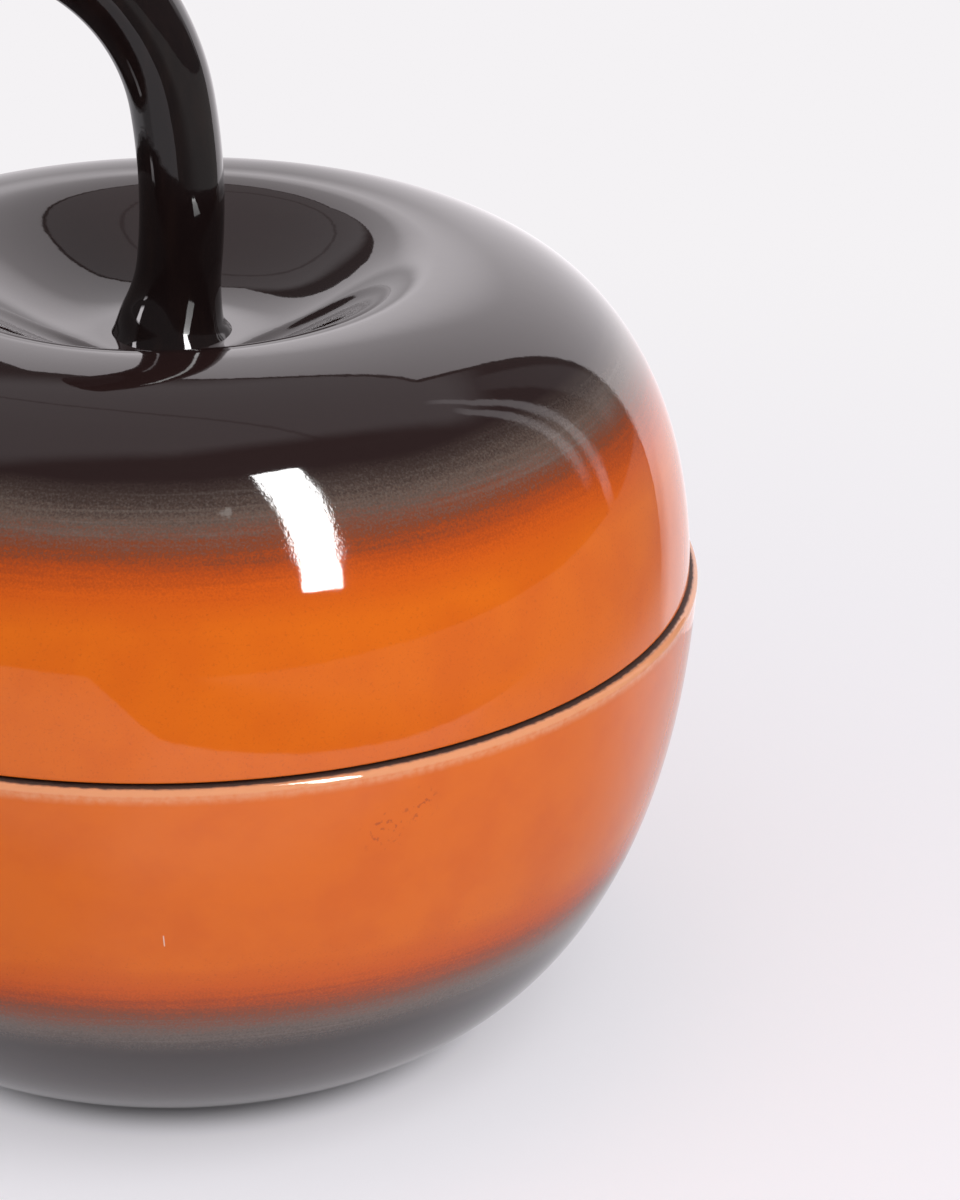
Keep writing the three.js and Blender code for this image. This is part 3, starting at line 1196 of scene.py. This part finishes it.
@dataclass
class Studio:
    """Plain pale table, soft strip light, a dim room in the reflections, and the photograph's camera.

    A pair of numbers is where a change starts and where it ends. Angles are in degrees.
    """

    camera_place: tuple[float, float, float] = (0.0, -0.89621, 0.47875)
    camera_yaw: float = 3.794
    camera_pitch: float = 23.788
    lens: float = 150.0
    floor_reach: float = 4.0
    paper: Colour = (0.93, 0.905, 0.955)
    paper_share: float = 0.67
    paper_glow: Colour = (0.385, 0.375, 0.394)
    background: Colour = (0.905, 0.886, 0.905)
    fill: float = 0.58
    fill_from_front: float = 0.6
    ceiling: float = 0.52
    ceiling_rise: Point = (40.0, 50.0)
    left_turn: Point = (-18.0, -30.0)
    left_drop: float = 16.0
    room: float = 0.10
    right_room: float = 0.28
    glints: tuple[Glint, ...] = (
        Glint(49.5, (6.5, 3.5), (2.0, 10.0), (50.0, 43.0), 0.25),
        Glint(60.5, (2.0, 1.3), (-5.0, 6.0), (57.0, 50.0), 1.05, leans=True),
        Glint(66.3, (2.0, 1.3), (4.0, 13.0), (53.0, 45.0), 1.05, leans=True),
        Glint(-100.0, (5.0, 3.5), (11.0, 14.0), (42.0, 36.0), 7.0),
    )
    room_tint: Colour = (1.0, 0.95, 0.985)
    table_front: float = 0.336
    table_right: float = 0.43
    table_facing: Point = (0.609, 0.793)
    # Painted light and shade on the floor as reflections see it: darker all over, a lighter pool in front,
    # darker on the left and far right, lighter beside the jar.
    table_dim: float = 0.48
    left_dim: float = 0.14
    right_dim: float = 0.2
    pool_lift: float = 0.18
    beside_lift: float = 0.38
    # Where the floor's glow fades out round the foot: a painted contact shadow.
    painted_contact_shadow: Point = (0.0500, 0.0635)
    # Round the foot, reflections see the floor without that painted shade.
    foot_pool: Point = (0.115, 0.092)
    fade_out: Point = (0.14, 0.7)
    lamp_place: tuple[float, float, float] = (0.465, -0.670, 0.820)
    lamp_target: tuple[float, float, float] = (0.0216, -0.0872, 0.1348)
    lamp_along: tuple[float, float, float] = (-0.237, 0.565, 0.735)

    def build_camera(self) -> None:
        """Sets the camera that took the photograph."""
        camera = bpy.data.cameras.new("camera")
        camera.lens = self.lens
        camera.sensor_fit = "AUTO"
        viewer = bpy.data.objects.new("camera", camera)
        viewer.location = self.camera_place
        viewer.rotation_euler = (math.radians(90 - self.camera_pitch), 0.0, math.radians(-self.camera_yaw))
        bpy.context.scene.collection.objects.link(viewer)
        bpy.context.scene.camera = viewer

    def build_lamps(self) -> None:
        """Hangs the strip light: a soft lamp for its light, and one just in front for its mirror image."""
        shape = {"target": self.lamp_target, "along": self.lamp_along}
        behind = tuple(1.15 * Vector(self.lamp_place) - 0.15 * Vector(self.lamp_target))
        Lamp("strip_light", behind, width=0.55, length=1.0, radiance=3.6, mirrored=False, **shape).build()
        Lamp(
            "strip_glint", self.lamp_place, width=0.172, length=0.956, radiance=24.0, mirrored=True, **shape
        ).build()

    def build_floor(self) -> None:
        """Lays the table. Far off it fades into the background, and in reflections it has an end. Round the
        foot its glow fades into a painted contact shadow, and in reflections it carries painted patches of
        light and shade, with the dim room's light painted beyond its end.
        """
        reach = self.floor_reach
        corners = [(-reach, -reach, 0.0), (reach, -reach, 0.0), (reach, reach, 0.0), (-reach, reach, 0.0)]
        material, sheet, inputs = new_material("floor_paper")
        staged_face("floor", corners, material)
        across, depth, _ = sheet.axes(sheet.node("ShaderNodeTexCoord", output="Object"))
        seen = sheet.node("ShaderNodeLightPath", output="Is Camera Ray")
        mirrored = sheet.node("ShaderNodeLightPath", output="Is Glossy Ray")
        looked_at = seen.most(mirrored)
        distance = (across * across + depth * depth) ** 0.5
        away = (distance + depth * 0.5).step(*self.fade_out) * seen
        front = across * self.table_facing[0] - depth * self.table_facing[1]
        front = front + (across + 0.03).least(0.0) * 1.5
        off_table = front.step(self.table_front - 0.006, self.table_front + 0.006)
        off_table = off_table.most(across.step(self.table_right, self.table_right + 0.012))
        plain = mirrored * off_table
        # Painted contact shadow: the floor's glow fades out round the foot.
        painted_contact_shadow = distance.step(*self.painted_contact_shadow)
        # Painted light and shade in reflections: the floor is darker all over, lighter in a pool in front,
        # darker on the left, lighter beside the jar, darker far right, and left alone round the foot.
        near = distance.step(*self.foot_pool)
        dimmed = self.table_dim - depth.step(-0.16, -0.20) * self.pool_lift
        dimmed = dimmed + across.step(-0.02, -0.06) * self.left_dim
        beside = depth.step(-0.05, 0.06) * across.step(0.34, 0.20)
        dimmed = dimmed - beside * self.beside_lift + across.step(0.22, 0.40) * self.right_dim
        painted_reflection_shade = mirrored * (1.0 - near) * dimmed
        dark = (0.0, 0.0, 0.0)
        paper = sheet.mix(looked_at * (1.0 - self.paper_share), self.paper, dark)
        tone = sheet.mix(plain.most(away).most(painted_reflection_shade), paper, dark)
        lifted = sheet.mix(looked_at * (1.0 - painted_reflection_shade) * painted_contact_shadow, dark, self.paper_glow)
        far = sheet.mix(away, lifted, self.background)
        # Beyond the table's end, reflections see the floor glow with the dim room's light: a painted
        # reflection.
        room = sheet.mix(across.step(0.1, 0.5), (self.room,) * 3, (self.right_room,) * 3)
        shine = sheet.mix(plain, far, room)
        sheet.feed(inputs["Base Color"], tone)
        sheet.feed(inputs["Emission Color"], shine)
        inputs["Emission Strength"].default_value = 1.0
        inputs["Roughness"].default_value = 0.9
        inputs["Specular IOR Level"].default_value = 0.0

    def build_world(self) -> None:
        """Surrounds the jar with even light, and with a dim room and its lamps in the reflections."""
        world = bpy.data.worlds.new("studio")
        world.use_nodes = True
        bpy.context.scene.world = world
        sheet = Sheet(world.node_tree)
        direction = sheet.node("ShaderNodeTexCoord", output="Generated")
        x, y, z = sheet.axes(direction)
        degrees = 180.0 / math.pi
        turn = sheet.node("ShaderNodeMath", {0: x, 1: y}, operation="ARCTAN2") * degrees
        rise = sheet.node("ShaderNodeMath", {0: z}, operation="ARCSINE") * degrees
        overhead = (rise + turn.step(*self.left_turn) * self.left_drop).step(*self.ceiling_rise)
        overhead = overhead * (y - x.most(0.0) * 0.45).step(-0.16, -0.02)
        bar = (x * 0.645 + y * 0.717 - z * 0.262).size().step(0.010, 0.004) * 0.5
        lean = (45.0 - rise).most(0.0) * 0.14 - (rise - 45.0).most(0.0) * 0.6
        glow = overhead * (1.0 - bar) * (self.ceiling - self.room) + self.room
        for glint in self.glints:
            off = (turn - lean if glint.leans else turn) - glint.turn
            patch = off.size().step(*glint.width) * rise.step(*glint.low) * rise.step(*glint.high)
            glow = glow.most(patch * glint.glow)
        seen = sheet.node("ShaderNodeLightPath", output="Is Camera Ray")
        mirrored = sheet.node("ShaderNodeLightPath", output="Is Glossy Ray")
        mirrored = mirrored.most(sheet.node("ShaderNodeLightPath", output="Is Transmission Ray"))
        even = (1.0 - y * self.fill_from_front) * self.fill
        level = mirrored * glow + (1.0 - mirrored) * even
        grey = sheet.node("ShaderNodeCombineColor", {0: level, 1: level, 2: level})
        tinted = sheet.node(
            "ShaderNodeMix",
            {0: mirrored, 6: grey, 7: self.room_tint},
            output=2,
            data_type="RGBA",
            blend_type="MULTIPLY",
        )
        colour = sheet.mix(seen, tinted, self.background)
        sheet.feed(world.node_tree.nodes["Background"].inputs["Color"], colour)

    def build(self) -> None:
        """Builds the whole studio."""
        bpy.context.scene.view_settings.view_transform = "Standard"
        self.build_camera()
        self.build_lamps()
        self.build_floor()
        self.build_world()
        Card().build()


def join_frame(piece: bpy.types.Object, body: str, node: str) -> None:
    """Hangs a piece on the frame in place of its solid.

    Args:
        piece: The finished piece.
        body: The body that it rides on.
        node: The solid that it stands for.
    """
    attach(piece, body)
    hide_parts(node)
    LOG.info("%s: %d faces, rides on %s", piece.name, len(piece.data.polygons), body)


def main() -> None:
    """Builds the jar piece by piece, then the studio."""
    logging.basicConfig(level=logging.INFO, format="%(name)s: %(message)s")
    turning = turning_tree()
    bowl = Bowl()
    lid = Lid(bowl)
    stem = Stem(lid)
    join_frame(bowl.build(turning), "bowl", "bowl")
    join_frame(lid.build(turning), "lid", "lid")
    join_frame(stem.build(sweeping_tree()), "lid", "stem")
    Studio().build()


if __name__ == "__main__":
    main()
